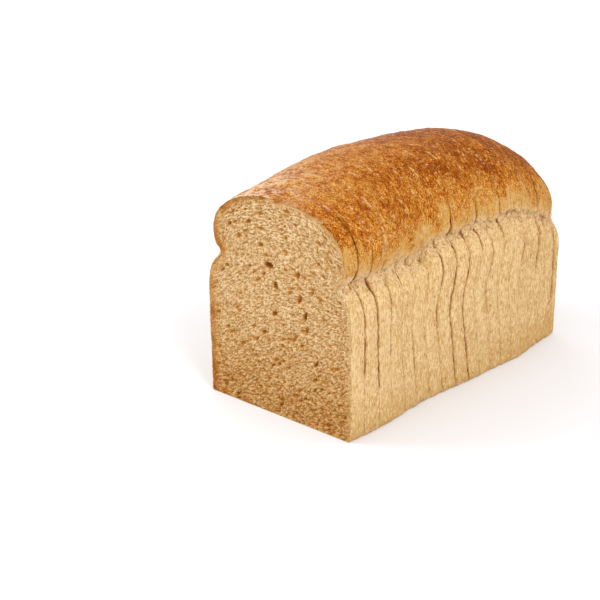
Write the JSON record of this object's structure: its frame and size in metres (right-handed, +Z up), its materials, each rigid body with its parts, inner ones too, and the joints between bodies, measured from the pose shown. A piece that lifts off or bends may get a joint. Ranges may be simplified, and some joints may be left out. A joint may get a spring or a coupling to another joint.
{
  "type": "sliced wholemeal tin loaf",
  "caption": "Wholemeal tin loaf standing on its base, cut into slices that still hold its shape, with a domed brown crown and one closed end.",
  "frame": {"origin": "middle of the loaf's base, where its bounding box stands on the table", "axes": "+Z up, +Y along the loaf from the open cut face to the heel, +X across it"},
  "size_m": [0.1162, 0.2085, 0.1427],
  "materials": {
    "cut_bread": "matte wholemeal crumb with fine pores on the cut faces, pale golden crust with bran specks on the sides, glossier brown crown",
    "heel_crust": "baked wholemeal crust, pale golden on the tin's end and satin brown on the crown",
    "bran": "dry matte flakes of bran"
  },
  "bodies": {
    "root": {"slice_01": "cut_bread", "slice_02": "cut_bread", "slice_03": "cut_bread", "slice_04": "cut_bread", "slice_05": "cut_bread", "slice_06": "cut_bread", "slice_07": "cut_bread", "slice_08": "cut_bread", "slice_09": "cut_bread", "slice_10": "cut_bread", "slice_11": "cut_bread", "slice_12": "cut_bread", "slice_13": "cut_bread", "slice_14": "cut_bread", "slice_15": "cut_bread", "slice_16": "cut_bread", "slice_17": "cut_bread", "slice_18": "cut_bread", "heel": "heel_crust"}
  },
  "joints": []
}
